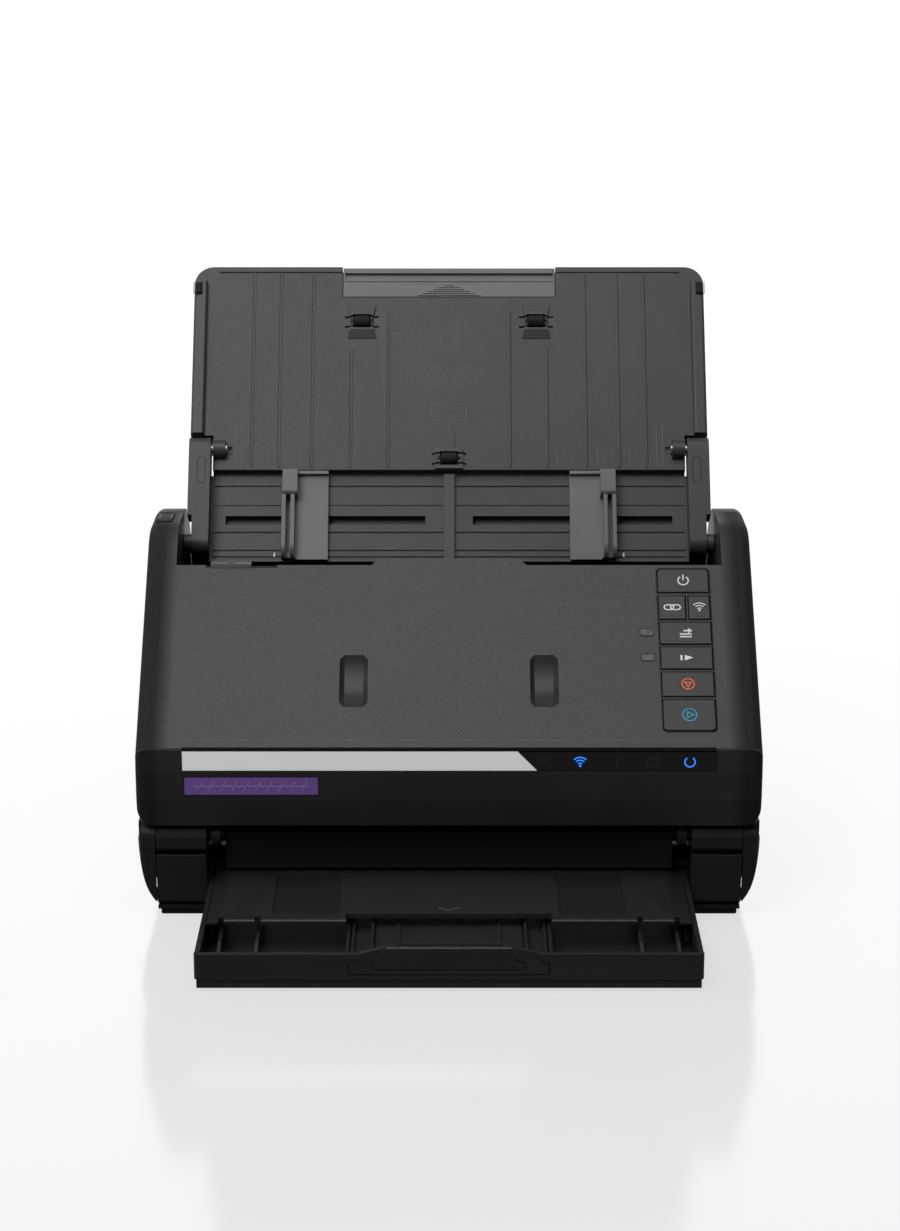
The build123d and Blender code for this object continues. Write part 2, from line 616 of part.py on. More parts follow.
def exit_shaft():
    return rod(EXIT_AXIS, SHAFT_R, -122, PULLEY_X + PULLEY_W + 0.6)


def exit_rollers():
    return roller_pair(EXIT_AXIS, EXIT_R, 32, 13)


def exit_pulley():
    return rod(EXIT_AXIS, PULLEY_R, PULLEY_X, PULLEY_X + PULLEY_W) - rod(EXIT_AXIS, SHAFT_R, 100, 150)


# ---- input tray, modelled as (x, along the tray, in front of the pivot plane)

CHUTE_LOW, CHUTE_HIGH = -8.0, 37.8
CHUTE_FACE = -6.0
ARM_IN, ARM_OUT = 120.6, 131.5
ARM_R = 5.8
RIB_K = 148.0


def lower_input_tray():
    """Chute with the guide slots, a back plate, and the two arms that carry the upper tray."""
    tray = block(-121, 121, CHUTE_LOW, CHUTE_HIGH, -8.0, CHUTE_FACE)
    tray += block(-121, 121, CHUTE_LOW, CHUTE_HIGH, -12.0, -10.9)
    tray += block(-121, 121, CHUTE_HIGH - 2, CHUTE_HIGH, -12.0, CHUTE_FACE)
    tray += block(-121, 121, CHUTE_LOW, CHUTE_LOW + 2, -12.0, CHUTE_FACE)
    for k, height in ((32.8, 0.8), (22.5, 0.5), (8.1, 0.8), (-1.5, 0.8), (-5.0, 0.8)):
        tray += block(-119, 119, k - 0.5, k + 0.5, CHUTE_FACE - 0.2, CHUTE_FACE + height)
    tray += block(-2.7, 2.7, CHUTE_LOW, CHUTE_HIGH, CHUTE_FACE - 0.2, CHUTE_FACE + 3.0)
    for side in (-1, 1):
        tray -= block(min(side * 12, side * 113), max(side * 12, side * 113), GUIDE_K - 2.3, GUIDE_K + 2.3, -9, 0)
    tray -= Pos(0, GUIDE_K, -9.5) * Cylinder(1.5 + RUN, 2.9)
    arm = block(ARM_IN, ARM_OUT, 0, LINK_K, -ARM_R, ARM_R)
    for k in (0.0, LINK_K):
        arm += Pos((ARM_IN + ARM_OUT) / 2, k, 0) * Rot(0, 90, 0) * Cylinder(ARM_R, ARM_OUT - ARM_IN)
    arm -= block(ARM_OUT - 2.3, ARM_OUT + 1, -8, 13, -8, 8)
    arm += Pos(130.5, 0, 0) * Rot(0, 90, 0) * Cylinder(4.4, 4.6)
    arm += block(ARM_IN, ARM_OUT - 2.3, 4, CHUTE_HIGH, -12.0, 0)
    arm -= Pos(128, 0, 0) * Rot(0, 90, 0) * Cylinder(PIN_R + RUN, 20)
    arm -= Pos(120, LINK_K, 0) * Rot(0, 90, 0) * Cylinder(PIN_R, 17)
    arm = arm + mirrored(arm)
    return on_tray(tray + arm)


def rack(x0, x1, teeth_k, side):
    """Rack along X with its pitch line at teeth_k, teeth towards -side; one tooth at x = 0."""
    pitch = pi * MODULE
    thick = 3.0
    bar = block(x0, x1, min(teeth_k + side * 1.2, teeth_k + side * (1.2 + thick)),
                max(teeth_k + side * 1.2, teeth_k + side * (1.2 + thick)), -10.4, -8.5)
    profile = []
    for n in range(int(x0 / pitch) + 1, int(x1 / pitch)):
        for share, height in ((-0.375, -1.3), (-0.115, 1.0), (0.115, 1.0), (0.375, -1.3)):
            profile.append(((n + share) * pitch, teeth_k - side * height))
    first, last = profile[0][0], profile[-1][0]
    base_k = teeth_k + side * 2.0
    face = make_face(Polyline(*[(x, k, -10.4) for x, k in profile + [(last, base_k), (first, base_k)]],
                              close=True))
    return bar + extrude(face, 1.9, dir=(0, 0, 1))


def edge_guide(side):
    """side is -1 for the left guide: plate, two fins, a finger tab, and its rack behind the chute."""
    floor = CHUTE_FACE + 1.8
    x_in, x_out = GUIDE_X, 77.0
    plate = block(x_in, x_out, -8.0, 38.6, floor, floor + 1.6)
    plate += block(x_in, x_out, 37.0, 38.6, floor, floor + 4.0)
    tab = block(76.4, 84.0, 24.5, 38.6, floor, floor + 9.0)
    tab = fillet(tab.edges().filter_by(Axis.X).group_by(Axis.Z)[-1], 2.0)
    guide = plate + tab
    for x in (78.8, 83.2):
        fin = block(x - 1.0, x + 1.0, -8.0, 25.0, floor, floor + 8.0)
        guide += fillet(fin.edges().filter_by(Axis.X).group_by(Axis.Y)[0].group_by(Axis.Z)[-1], 6.0)
    guide += block(76.4, 84.2, -7.0, 26.0, floor, floor + 1.6)
    guide += block(76.0, 82.0, GUIDE_K - 2.0, GUIDE_K + 2.0, -10.4, floor + 0.5)
    rack_side = -side
    radius = MODULE * GUIDE_TEETH / 2
    reach_k = GUIDE_K + rack_side * (radius + 3.0)
    guide += block(76.0, 82.0, min(GUIDE_K, reach_k), max(GUIDE_K, reach_k), -10.4, -8.5)
    if side < 0:
        guide = mirrored(guide)
        guide += rack(-82.0, 40.0, GUIDE_K + rack_side * radius, rack_side)
    else:
        guide += rack(-40.0, 82.0, GUIDE_K + rack_side * radius, rack_side)
    return on_tray(guide)


def guide_pinion():
    """Pinion between the two racks; a gap faces each rack."""
    gear = extrude(Pos(0, 0, -10.4) * toothed_face(GUIDE_TEETH, 90 + 180 / GUIDE_TEETH), 1.9, dir=(0, 0, 1))
    gear += Pos(0, 0, -9.5) * Cylinder(1.5, 2.7)
    return on_tray(Pos(0, GUIDE_K, 0) * gear)


def tray_link_pins():
    pins = [Pos(side * 120.5, LINK_K, 0) * Rot(0, 90, 0) * Cylinder(PIN_R, 16) for side in (-1, 1)]
    return on_tray(Part() + pins)


TRAY_FACE = -1.5
EXT_HALF_W = 54.6
NOTCH_K = 134.4
LEDGE = -8.2                    # front of the ledges behind the grip's ends
ROLLER_X, ROLLER_K = 44.8, 120.6
CENTRE_ROLLER_K = 45.4
SMALL_R = 3.0
SMALL_OUT = -0.5
RIBS = ((30.9, 127.0), (50.0, 106.0), (69.7, RIB_K), (86.4, RIB_K), (100.2, RIB_K))


def roller_bump(x, k):
    """Waisted pad round a small roller, sloping off above and below it."""
    ends, waist, reach, low = 7.4, 4.9, 9.2, TRAY_FACE - 0.2
    corners = [(-ends, reach), (ends, reach), (waist, 0), (ends, -reach), (-ends, -reach), (-waist, 0)]
    pad = extrude(make_face(Polyline(*[(x + u, k + v, low) for u, v in corners], close=True)), 2.0, dir=(0, 0, 1))
    for end in (-1, 1):
        wedge = [(end * 4.0, 0.5), (end * (reach + 1), TRAY_FACE + 0.1), (end * (reach + 1), 2.0), (end * 4.0, 2.0)]
        pad -= extrude(make_face(Polyline(*[(x - 10, k + v, w) for v, w in wedge], close=True)), 20, dir=(1, 0, 0))
    return pad


def roller_pocket(x, k):
    """Cutter for a small roller, its axle ends and the slits beside it."""
    pocket = block(x - 4.6, x + 4.6, k - 3.7, k + 3.7, -4.4, 6)
    pocket += Pos(x, k, SMALL_OUT) * Rot(0, 90, 0) * Cylinder(1.0 + RUN, 11.6)
    for slit in (-2.7, 2.7):
        pocket += block(x - 8.8, x + 8.8, k + slit - 0.5, k + slit + 0.5, -3.0, 6)
    return pocket


def upper_input_tray():
    tray = block(-TRAY_HALF_W, TRAY_HALF_W, LINK_K + 8.2, TRAY_K, -TRAY_BACK, TRAY_FACE)
    tray = fillet(tray.edges().filter_by(Axis.Z).group_by(Axis.Y)[-1], 10.0)
    tray = fillet(tray.faces().sort_by(Axis.Z)[0].edges(), 2.5)
    tray += block(-119.8, 119.8, 39.6, LINK_K + 10, -TRAY_BACK, TRAY_FACE)
    tray += block(-119.8, 119.8, CHUTE_HIGH + 0.5, 41.0, -TRAY_BACK, -6.6)
    tray += both(119.0, TRAY_HALF_W, LINK_K, LINK_K + 9, -TRAY_BACK, -6.6)
    for side in (-1, 1):
        low, high = sorted((side * 124.6, side * (TRAY_HALF_W - 0.4)))
        rail = block(low, high, LINK_K + 8.6, TRAY_K - 9, TRAY_FACE - 1, 1.8)
        tray += fillet(rail.edges().filter_by(Axis.Y).group_by(Axis.Z)[-1], 1.2)
        tray += Pos(side * 116.4, LINK_K, 0) * Rot(0, 90, 0) * Cylinder(4.6, 6.4)
        for x, top in RIBS:
            tray += block(side * x - 0.5, side * x + 0.5, 41.0, top, TRAY_FACE - 0.2, TRAY_FACE + 0.6)
        tray += roller_bump(side * ROLLER_X, ROLLER_K)
        tray -= roller_pocket(side * ROLLER_X, ROLLER_K)
        tray -= Pos(side * 117, LINK_K, 0) * Rot(0, 90, 0) * Cylinder(PIN_R + RUN, 14)
        tray -= block(side * 129.0 - 1.8, side * 129.0 + 1.8, 134.8, 141.2, 0.6, 4)
    tray += block(-119, 119, 148.4, 150.6, TRAY_FACE - 0.2, TRAY_FACE + 0.7)
    tray += block(-2.7, 2.7, 41.0, 60.0, TRAY_FACE - 0.2, TRAY_FACE + 1.0)
    tray += Pos(0, CENTRE_ROLLER_K, TRAY_FACE + 0.7) * Box(14, 11, 1.8)
    tray -= roller_pocket(0, CENTRE_ROLLER_K)
    tray -= block(-EXT_HALF_W - GAP, EXT_HALF_W + GAP, NOTCH_K, TRAY_K + 5, LEDGE, 4)
    tray -= block(-EXT_HALF_W + 1.5, EXT_HALF_W - 1.5, NOTCH_K, TRAY_K + 5, -12, 4)
    tray -= block(-52.5, 52.5, 60.0, NOTCH_K + 1, -8.3, -5.3)
    return on_tray(tray)


def small_roller(x, k):
    roller = Pos(x, k, SMALL_OUT) * Rot(0, 90, 0) * Cylinder(SMALL_R, 8.0)
    roller = fillet(roller.edges(), 0.8)
    return roller + Pos(x, k, SMALL_OUT) * Rot(0, 90, 0) * Cylinder(1.0, 11.2)


def upper_tray_rollers():
    return on_tray(Part() + [small_roller(side * ROLLER_X, ROLLER_K) for side in (-1, 1)])


def lower_tray_roller():
    return on_tray(small_roller(0, CENTRE_ROLLER_K))


def tray_bumpers():
    bumpers = []
    for side in (-1, 1):
        pad = Pos(side * 129.0, 138.0, 2.0) * Box(3.4, 6.2, 2.8)
        bumpers.append(fillet(pad.faces().sort_by(Axis.Z)[-1].edges(), 1.0))
    return on_tray(Part() + bumpers)


def tray_extension():
    """Pull-out extension: a thin tongue in the tray's slot and a grip that fills the notch."""
    grip = block(-EXT_HALF_W, EXT_HALF_W, NOTCH_K + 0.4, TRAY_K, -9.2, TRAY_FACE)
    grip = fillet(grip.edges().filter_by(Axis.X).group_by(Axis.Y)[-1], 2.0)
    grip -= both(EXT_HALF_W - 1.5 - GAP, EXT_HALF_W + 1, NOTCH_K, TRAY_K + 1, -TRAY_BACK, LEDGE + GAP)
    grip += block(-EXT_HALF_W + 1, EXT_HALF_W - 1, 147.6, TRAY_K - 1.4, TRAY_FACE - 0.5, TRAY_FACE + 0.8)
    grip -= block(-EXT_HALF_W + 1, EXT_HALF_W - 1, 144.2, 147.6, TRAY_FACE - 0.9, TRAY_FACE + 1)
    grip += block(-EXT_HALF_W + 1, EXT_HALF_W - 1, 143.2, 144.2, TRAY_FACE - 0.5, TRAY_FACE + 0.4)
    for n in range(6):
        half, k = 16.0 - 2.7 * n, 135.4 + 1.1 * n
        grip += block(-half, half, k, k + 0.5, TRAY_FACE - 0.5, TRAY_FACE + 0.5)
    tongue = block(-52, 52, 62.0, NOTCH_K + 1, -8.0, -5.6)
    return on_tray(grip + tongue)


# ---- output tray

def output_deck():
    """Top plate of the output tray; it slides out from under the cover."""
    top, edge, flat = 19.5, DRAWER_HALF_W - 2.7, DRAWER_HALF_W - 10.4
    plate = along_y([(-edge, top - 2.2), (edge, top - 2.2), (edge, top - 1.9), (flat, top), (-flat, top),
                     (-edge, top - 1.9)], DECK_FRONT, 60.0)
    plate = fillet(plate.edges().filter_by(Axis.X).group_by(Axis.Y)[0].group_by(Axis.Z)[-1], 1.2)
    plate -= block(-47.5, 47.5, DECK_FRONT - 1, -40.0, 10, 30)
    for side in (-1, 1):
        plate -= Pos(side * 66.5, -14.0, top) * Box(31.0, 52.0, 1.6)
        for x in (105.0, 88.0):
            plate -= block(side * x - 1.4, side * x + 1.4, DECK_FRONT - 1, DECK_FRONT + 4.5, 10, 30)
    plate += both(108.8, 111.2, -40, 60.0, 6.0, top - 2.0)
    plate += both(48.6, 50.6, -36, 60.0, 14.2, top - 2.0)
    return plate


# Right halves of the nested fronts (x, z), from the middle of the top edge to the lower corner
FRONT_1 = [(0, 22.0), (28.0, 22.0), (40.4, 19.1), (40.4, 15.3), (EXT1_HALF_W, 13.8), (EXT1_HALF_W, 9.1)]
FRONT_2 = [(0, 22.0), (28.0, 22.0), (29.6, 21.6), (29.6, 15.6), (EXT2_HALF_W, 14.3), (EXT2_HALF_W, 11.3)]


def nested_front(half_profile, spare, y0, y1):
    """Front of an extension, or with spare its clearance cut, open above."""
    right = [(x + (spare if x > 28 else 0), z - (spare if n == len(half_profile) - 1 else -spare))
             for n, (x, z) in enumerate(half_profile)]
    if spare:
        right[:2] = [(0, 30.0), (right[2][0], 30.0)]
    return along_y(right + [(-x, z) for x, z in right[:0:-1]], y0, y1)


def output_drawer():
    """Outer drawer with its front, side walls, floor and the rails of the extensions."""
    half, step = DRAWER_HALF_W, 1.0
    drawer = block(-half, half, DRAWER_FRONT, 30.0, 2.2, 4.2)
    drawer += both(half - 2.3, half, DRAWER_FRONT, 58.0, 2.2, 17.4)
    drawer += block(-half, half, DRAWER_FRONT, DRAWER_FRONT + 3.0, 2.2, 18.6)
    drawer = fillet(drawer.edges().filter_by(Axis.Z).group_by(Axis.Y)[0], 2.0)
    drawer -= block(-half, half, DRAWER_FRONT - 1, DRAWER_FRONT + step, 2.0, 6.6)
    drawer -= both(half - step, half + 1, DRAWER_FRONT, 58.0, 2.0, 6.6)
    drawer -= nested_front(FRONT_1, GAP, DRAWER_FRONT - 1, DRAWER_FRONT + 4)
    rail = block(EXT1_HALF_W + 0.5, EXT1_HALF_W + 2.3, DRAWER_FRONT + 2, 30.0, 4.0, 13.4)
    rail += block(EXT1_HALF_W - 2.0, EXT1_HALF_W + 2.3, DRAWER_FRONT + 2, 30.0, 4.0, 8.6)
    for x in (88.0, 105.0):
        rail += prism([(DRAWER_FRONT + 2, 4.0), (DRAWER_FRONT + 2, 6.0), (DRAWER_FRONT + 14, 8.0),
                       (DRAWER_FRONT + 30, 12.5), (0.0, 12.5), (0.0, 4.0)], x - 0.8, x + 0.8)
    return drawer + rail + mirrored(rail)


def output_extension_1():
    """First pull-out extension, nested in the drawer."""
    half = EXT1_HALF_W
    piece = nested_front(FRONT_1, 0, DRAWER_FRONT, DRAWER_FRONT + 3)
    piece += block(-half, half, DRAWER_FRONT + 1, 10.0, 9.1, 10.7)
    piece += both(EXT2_HALF_W + 0.5, EXT2_HALF_W + 2.0, DRAWER_FRONT + 2, 10.0, 10.5, 15.2)
    piece += both(half - 1.6, half - 0.2, DRAWER_FRONT + 2, 10.0, 10.5, 13.4)
    return piece - nested_front(FRONT_2, GAP, DRAWER_FRONT - 1, DRAWER_FRONT + 4)


STOP_AXIS = (DRAWER_FRONT + 4.6, 15.9)


def output_extension_2():
    """Second pull-out extension, with the ears of the stopper's hinge."""
    half = EXT2_HALF_W
    piece = nested_front(FRONT_2, 0, DRAWER_FRONT, DRAWER_FRONT + 2.4)
    piece += block(-half, half, DRAWER_FRONT + 1, 4.0, 11.3, 12.9)
    piece += both(22.5, 24.0, DRAWER_FRONT + 22, 4.0, 12.7, 14.0)
    for side in (-1, 1):
        low, high = sorted((side * 27.2, side * 29.8))
        piece += block(low, high, DRAWER_FRONT + 1, STOP_AXIS[0] + 2.2, 12.0, STOP_AXIS[1])
        piece += rod(STOP_AXIS, 2.2, low, high)
    return piece - rod(STOP_AXIS, 1.0 + RUN, -31, 31)


def stopper_flap():
    """Flap that stands up to stop the sheets, lying flat."""
    flap = rod(STOP_AXIS, 1.8, -26.8, 26.8) + rod(STOP_AXIS, 1.0, -30.0, 30.0)
    plate = block(-26.8, 26.8, STOP_AXIS[0], STOP_AXIS[0] + 14.0, 14.4, 16.4)
    plate = fillet(plate.edges().filter_by(Axis.Z).group_by(Axis.Y)[-1], 3.0)
    lip = block(-24.0, 24.0, STOP_AXIS[0] + 11.4, STOP_AXIS[0] + 13.0, 16.2, 17.2)
    return flap + plate + lip


# ---- the set of pieces

def pieces():
    panel = side_panel()
    yield "right_side_panel", panel
    yield "left_side_panel", mirrored(panel)
    for name, left, right, low, high in BUTTONS:
        yield name, button(left, right, low, high)
    yield "left_edge_guide", edge_guide(-1)
    yield "right_edge_guide", edge_guide(1)
    for make in (
        base_frame, rear_cover, front_corner_trims, hinge_blocks, hinge_pins, rubber_feet, rear_paper_guide,
        rear_scan_sensor, rear_scan_glass, main_board, dc_inlet, usb_port, drive_motor, drive_belt, case_screws,
        feed_shaft, feed_rollers, feed_gear, motor_pinion, exit_shaft, exit_rollers, exit_pulley,
        front_cover_shell, cover_inner_frame, front_scan_sensor, front_scan_glass, silver_trim_strip,
        display_window, badge, indicator_lenses, button_board, latch_hooks, separation_roller, pinch_rollers,
        cover_lever, feeder_selector,
        lower_input_tray, guide_pinion, tray_link_pins, upper_input_tray, upper_tray_rollers,
        lower_tray_roller, tray_bumpers, tray_extension,
        output_deck, output_drawer, output_extension_1, output_extension_2, stopper_flap,
    ):
        yield make.__name__, make()


os.makedirs("parts", exist_ok=True)
for name, shape in pieces():
    export_step(Pos(0, -ORIGIN_Y, 0) * shape, f"parts/{name}.step")
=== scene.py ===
# Visual model of a sheet fed document scanner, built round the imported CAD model.
# Frame positions are in metres; drawings on a surface are in millimetres, in that surface's own Place.

import json
import math

import bmesh
import bpy
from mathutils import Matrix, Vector


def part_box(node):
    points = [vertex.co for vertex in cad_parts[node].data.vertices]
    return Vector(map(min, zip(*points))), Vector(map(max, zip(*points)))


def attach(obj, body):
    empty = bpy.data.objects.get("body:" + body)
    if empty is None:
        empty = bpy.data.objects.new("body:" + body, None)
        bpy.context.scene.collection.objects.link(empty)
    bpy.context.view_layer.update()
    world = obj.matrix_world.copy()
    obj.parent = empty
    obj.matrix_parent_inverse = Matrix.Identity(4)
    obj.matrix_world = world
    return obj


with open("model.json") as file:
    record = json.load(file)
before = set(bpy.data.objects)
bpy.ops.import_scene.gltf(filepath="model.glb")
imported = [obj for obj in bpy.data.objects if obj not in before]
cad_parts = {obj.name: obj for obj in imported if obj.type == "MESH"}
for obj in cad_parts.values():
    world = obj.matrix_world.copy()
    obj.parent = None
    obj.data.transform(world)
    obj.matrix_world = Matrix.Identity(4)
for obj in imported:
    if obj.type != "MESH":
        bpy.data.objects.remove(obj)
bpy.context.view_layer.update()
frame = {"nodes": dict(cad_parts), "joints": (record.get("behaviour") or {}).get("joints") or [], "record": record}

MM = 0.001
NODES = frame["nodes"]
JOINTS = {joint["name"]: joint for joint in frame["joints"]}


# ---- places worked out from the frame

class Place:
    """A flat working frame: x to the right, y along the surface, z out of it, in millimetres."""

    def __init__(self, origin, along, out):
        self.origin = Vector(origin)
        self.y = Vector(along).normalized()
        self.z = Vector(out).normalized()
        self.x = self.y.cross(self.z)

    def at(self, x, y, z=0.0):
        """The object's own position, in metres, of a point in this frame."""
        return self.origin + (self.x * x + self.y * y + self.z * z) * MM

    def of(self, point):
        """A position in metres, seen in this frame."""
        offset = (Vector(point) - self.origin) / MM
        return Vector((offset.dot(self.x), offset.dot(self.y), offset.dot(self.z)))

    def box(self, *nodes):
        """Lowest and highest corner of CAD nodes, in this frame."""
        points = [self.of(v.co) for name in nodes for v in NODES[name].data.vertices]
        return [Vector(pick(p[i] for p in points) for i in range(3)) for pick in (min, max)]


TRAY_UP = -Vector(JOINTS["tray_extension_slide"]["axis"])
TRAY = Place(JOINTS["lower_tray_hinge"]["pos_m"], TRAY_UP, Vector((1, 0, 0)).cross(TRAY_UP))

KEY_OUT = -Vector(JOINTS["start_button_press"]["axis"])
FACE = Place((0, 0, 0), KEY_OUT.cross(Vector((1, 0, 0))), KEY_OUT)
KEY_RISE = 0.5                  # how far a key's cap stands out of the cover's face
CREASE_TO_START_KEY = 5.6       # from the crease at the face's lower edge up to the start key
start_low, start_high = FACE.box("start_button")
FACE.origin = FACE.at(0, start_low.y - CREASE_TO_START_KEY, start_high.z - KEY_RISE)


def front_of(name):
    """Place on the front of a CAD node that faces -y: x to the right, y up."""
    return Place((0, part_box(name)[0][1], 0), (0, 0, 1), (0, -1, 0))


# ---- materials

CLOUDINESS = 0.10               # how far moulded plastic's brightness drifts either way


def material(name, build):
    """New material with one Principled shader, which build sets up."""
    mat = bpy.data.materials.new(name)
    mat.use_nodes = True
    tree = mat.node_tree
    tree.nodes.clear()
    out = tree.nodes.new("ShaderNodeOutputMaterial")
    shader = tree.nodes.new("ShaderNodeBsdfPrincipled")
    tree.links.new(shader.outputs["BSDF"], out.inputs["Surface"])
    build(tree, shader)
    return mat


def node(tree, kind, **values):
    """New shader node. A value sets the node's setting of that name, or else its input socket."""
    made = tree.nodes.new(kind)
    for key, value in values.items():
        if hasattr(made, key):
            setattr(made, key, value)
        else:
            made.inputs[key.replace("_", " ")].default_value = value
    return made


def object_noise(tree, scale, detail=4.0, stretch=(1, 1, 1)):
    """Noise fixed to the object, drawn out along an axis whose stretch is under 1."""
    coords = node(tree, "ShaderNodeTexCoord")
    mapping = node(tree, "ShaderNodeMapping")
    mapping.inputs["Scale"].default_value = stretch
    noise = node(tree, "ShaderNodeTexNoise", Scale=scale, Detail=detail)
    tree.links.new(coords.outputs["Object"], mapping.inputs["Vector"])
    tree.links.new(mapping.outputs["Vector"], noise.inputs["Vector"])
    return noise


def spread(tree, source, low, high):
    """A noise remapped to between two values."""
    ramp = node(tree, "ShaderNodeMapRange", From_Min=0.3, From_Max=0.7, To_Min=low, To_Max=high)
    tree.links.new(source.outputs["Fac"], ramp.inputs["Value"])
    return ramp


def blend_colours(tree, factor, first, second):
    """Mix of two colours, or of a colour output and a colour."""
    mix = node(tree, "ShaderNodeMix", data_type="RGBA")
    tree.links.new(factor, mix.inputs[0])
    for socket, value in zip([s for s in mix.inputs if s.type == "RGBA"], (first, second)):
        if isinstance(value, tuple):
            socket.default_value = (*[min(1.0, c) for c in value], 1)
        else:
            tree.links.new(value, socket)
    return next(s for s in mix.outputs if s.type == "RGBA")


def scaled(colour, factor, lift=0.0):
    """A colour made brighter or darker by factor, with lift added to each channel."""
    return tuple(c * factor + lift for c in colour)


def add_bump(tree, shader, source, strength, distance):
    """Fine relief on the surface from a noise; distance is in metres."""
    bump = node(tree, "ShaderNodeBump", Strength=strength, Distance=distance)
    tree.links.new(source.outputs["Fac"], bump.inputs["Height"])
    tree.links.new(bump.outputs["Normal"], shader.inputs["Normal"])


def moulded(name, colour, rough=0.45, grain=900.0, depth=0.12, specular=0.5, wear=0.25, shaded_flank=None):
    """Moulded plastic: a fine spark-eroded grain, cloudy colour, and paler rubbed edges.

    shaded_flank is the half width, in metres, beyond which the mould is textured coarser and its colour is
    darkened as painted shade, for the shoulders that turn away from the light.
    """
    def build(tree, shader):
        cloud = object_noise(tree, 28.0, 3.0)
        fine = object_noise(tree, grain, 2.0)
        body = blend_colours(tree, spread(tree, cloud, 0.0, 1.0).outputs["Result"],
                             scaled(colour, 1 - CLOUDINESS), scaled(colour, 1 + CLOUDINESS))
        geometry = node(tree, "ShaderNodeNewGeometry")
        edge = node(tree, "ShaderNodeMapRange", From_Min=0.54, From_Max=0.66, To_Min=0.0, To_Max=wear)
        tree.links.new(geometry.outputs["Pointiness"], edge.inputs["Value"])
        surface_colour = blend_colours(tree, edge.outputs["Result"], body, scaled(colour, 2.2, 0.01))
        sheen = spread(tree, fine, rough - 0.06, rough + 0.08).outputs["Result"]
        if shaded_flank:
            coords = node(tree, "ShaderNodeTexCoord")
            split = node(tree, "ShaderNodeSeparateXYZ")
            tree.links.new(coords.outputs["Object"], split.inputs["Vector"])
            width = node(tree, "ShaderNodeMath", operation="ABSOLUTE")
            tree.links.new(split.outputs["X"], width.inputs[0])
            outer = node(tree, "ShaderNodeMapRange", From_Min=shaded_flank - 0.002, From_Max=shaded_flank + 0.006)
            tree.links.new(width.outputs[0], outer.inputs["Value"])
            # painted shade: past shaded_flank the colour is darkened to a quarter, standing in for shade on
            # shoulders that turn away from the light
            surface_colour = blend_colours(tree, outer.outputs["Result"], surface_colour, scaled(colour, 0.25))
            coarse = node(tree, "ShaderNodeMath", operation="MULTIPLY_ADD")
            tree.links.new(outer.outputs["Result"], coarse.inputs[0])
            coarse.inputs[1].default_value = 0.38
            tree.links.new(sheen, coarse.inputs[2])
            sheen = coarse.outputs[0]
        tree.links.new(surface_colour, shader.inputs["Base Color"])
        tree.links.new(sheen, shader.inputs["Roughness"])
        add_bump(tree, shader, fine, depth, 0.0002)
        shader.inputs["Specular IOR Level"].default_value = specular
    return material(name, build)


def glossy(name, colour, rough=0.08, coat=0.6):
    """Polished plastic under a clear coat, with faint dust and a slight orange peel."""
    def build(tree, shader):
        shader.inputs["Coat Weight"].default_value = coat
        shader.inputs["Coat Roughness"].default_value = 0.05
        dust = object_noise(tree, 400.0, 5.0)
        tree.links.new(spread(tree, dust, rough * 0.7, rough * 1.8).outputs["Result"],
                       shader.inputs["Roughness"])
        tree.links.new(blend_colours(tree, dust.outputs["Fac"], scaled(colour, 0.9),
                                     scaled(colour, 1.12, 0.002)),
                       shader.inputs["Base Color"])
        add_bump(tree, shader, object_noise(tree, 120.0, 1.0), 0.03, 0.0004)
    return material(name, build)


def metal(name, colour, rough=0.3, stretch=(1, 1, 1), metallic=1.0, glow=0.0):
    """Metal with fine drawn or turned lines along one axis; glow stands for a bright room it mirrors."""
    def build(tree, shader):
        lines = object_noise(tree, 900.0, 3.0, stretch)
        shader.inputs["Metallic"].default_value = metallic
        shader.inputs["Emission Color"].default_value = (*colour, 1)
        shader.inputs["Emission Strength"].default_value = glow
        tree.links.new(blend_colours(tree, lines.outputs["Fac"], scaled(colour, 0.88), scaled(colour, 1.08)),
                       shader.inputs["Base Color"])
        tree.links.new(spread(tree, lines, rough - 0.06, rough + 0.1).outputs["Result"],
                       shader.inputs["Roughness"])
        add_bump(tree, shader, lines, 0.08, 0.0001)
    return material(name, build)


def ink(name, colour, glow=0.0):
    """Printed or lit mark, also used for painted highlights and painted shade: slightly uneven in tone."""
    def build(tree, shader):
        grain = object_noise(tree, 2500.0, 2.0)
        tree.links.new(blend_colours(tree, grain.outputs["Fac"], scaled(colour, 0.92), scaled(colour, 1.05)),
                       shader.inputs["Base Color"])
        tree.links.new(spread(tree, grain, 0.45, 0.6).outputs["Result"], shader.inputs["Roughness"])
        if glow:
            shader.inputs["Emission Color"].default_value = (*colour, 1)
            shader.inputs["Emission Strength"].default_value = glow
    return material(name, build)


def clear_glass(name, colour):
    """See-through glass with faint smears."""
    def build(tree, shader):
        smear = object_noise(tree, 60.0, 4.0)
        tree.links.new(blend_colours(tree, smear.outputs["Fac"], scaled(colour, 0.92), colour),
                       shader.inputs["Base Color"])
        shader.inputs["Alpha"].default_value = 0.45
        tree.links.new(spread(tree, smear, 0.02, 0.09).outputs["Result"], shader.inputs["Roughness"])
        shader.inputs["Coat Weight"].default_value = 0.4
    return material(name, build)


